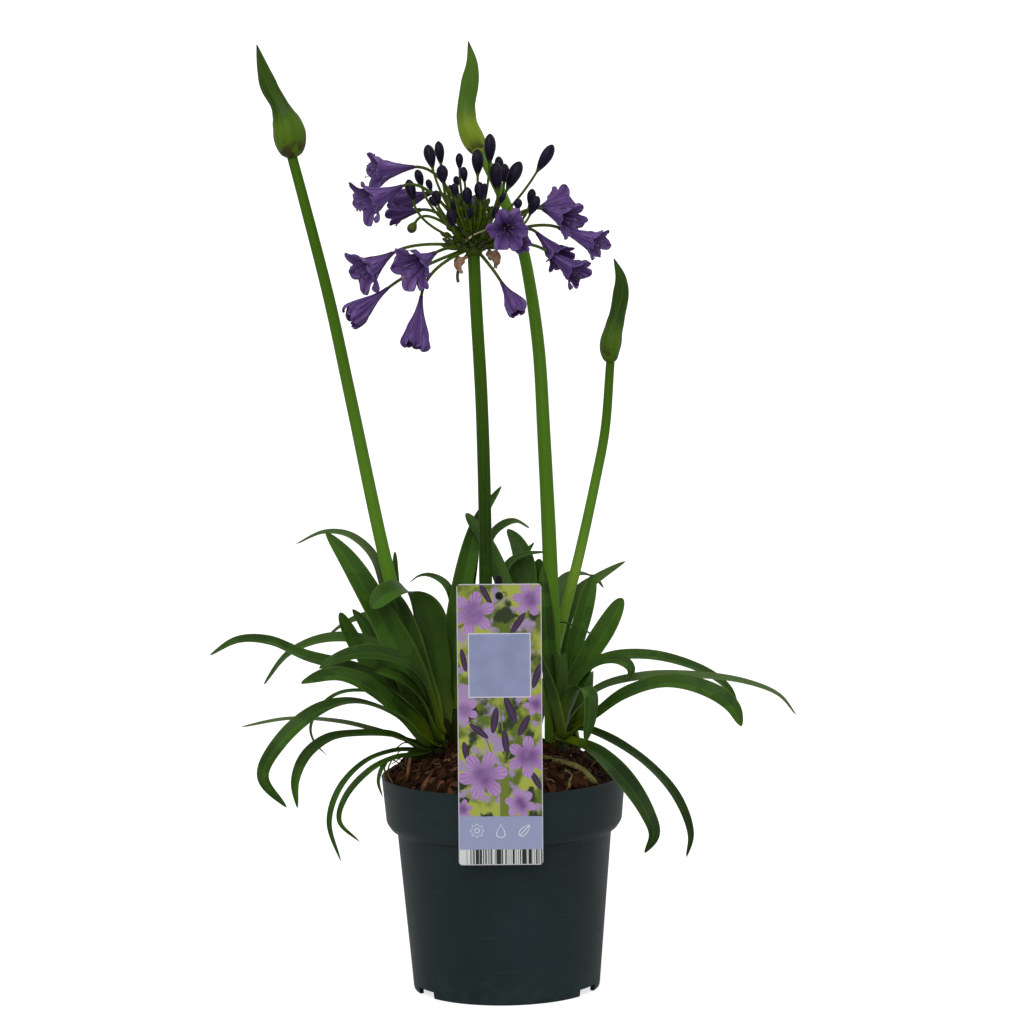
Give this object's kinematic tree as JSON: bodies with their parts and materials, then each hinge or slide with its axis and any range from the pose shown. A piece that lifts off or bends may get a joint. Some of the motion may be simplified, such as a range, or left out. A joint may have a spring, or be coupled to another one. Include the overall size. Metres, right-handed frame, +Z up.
{
  "type": "potted agapanthus plant",
  "caption": "Flowering perennial with a loose purple flower head, closed bud sheaths on tall bare stems and arching strap leaves, standing in a round nursery pot with a hanging care label.",
  "frame": {"origin": "centre of the pot's foot, on the ground", "axes": "+Z up along the pot's axis, -Y towards the side that the label hangs on"},
  "size_m": [0.4474, 0.2223, 0.7351],
  "materials": {
    "pot_plastic": "satin dark grey-blue moulded plastic",
    "compost": "rough composted bark, dark reddish brown",
    "leaf": "smooth waxy leaf",
    "stem": "smooth fleshy stem",
    "bud_sheath": "smooth green sheath with a darker beak",
    "flower_head": "dark blue-violet buds on green stalks",
    "petal": "soft violet petals with darker veins",
    "bract": "dry papery bract",
    "root": "pale fleshy root",
    "label_card": "printed thin plastic card",
    "stake_plastic": "black moulded plastic"
  },
  "bodies": {
    "root": {"bark_compost": "compost", "bud_sheath_left": "bud_sheath", "bud_sheath_short": "bud_sheath", "bud_sheath_tall": "bud_sheath", "care_label": "label_card", "dry_bract_left": "bract", "dry_bract_right": "bract", "flower_01": "petal", "flower_02": "petal", "flower_03": "petal", "flower_04": "petal", "flower_05": "petal", "flower_06": "petal", "flower_07": "petal", "flower_08": "petal", "flower_09": "petal", "flower_10": "petal", "flower_11": "petal", "flower_12": "petal", "flower_13": "petal", "flower_14": "petal", "flower_15": "petal", "flower_16": "petal", "flower_17": "petal", "flower_18": "petal", "flower_head": "flower_head", "label_stake": "stake_plastic", "nursery_pot": "pot_plastic", "shoot_back": "leaf", "shoot_centre_left": "leaf", "shoot_left_back": "leaf", "shoot_left_front": "leaf", "shoot_right_back": "leaf", "shoot_right_front": "leaf", "stem_flowering": "stem", "stem_left": "stem", "stem_right_short": "stem", "stem_right_tall": "stem", "surface_root": "root", "surface_rootlet": "root"}
  },
  "joints": []
}
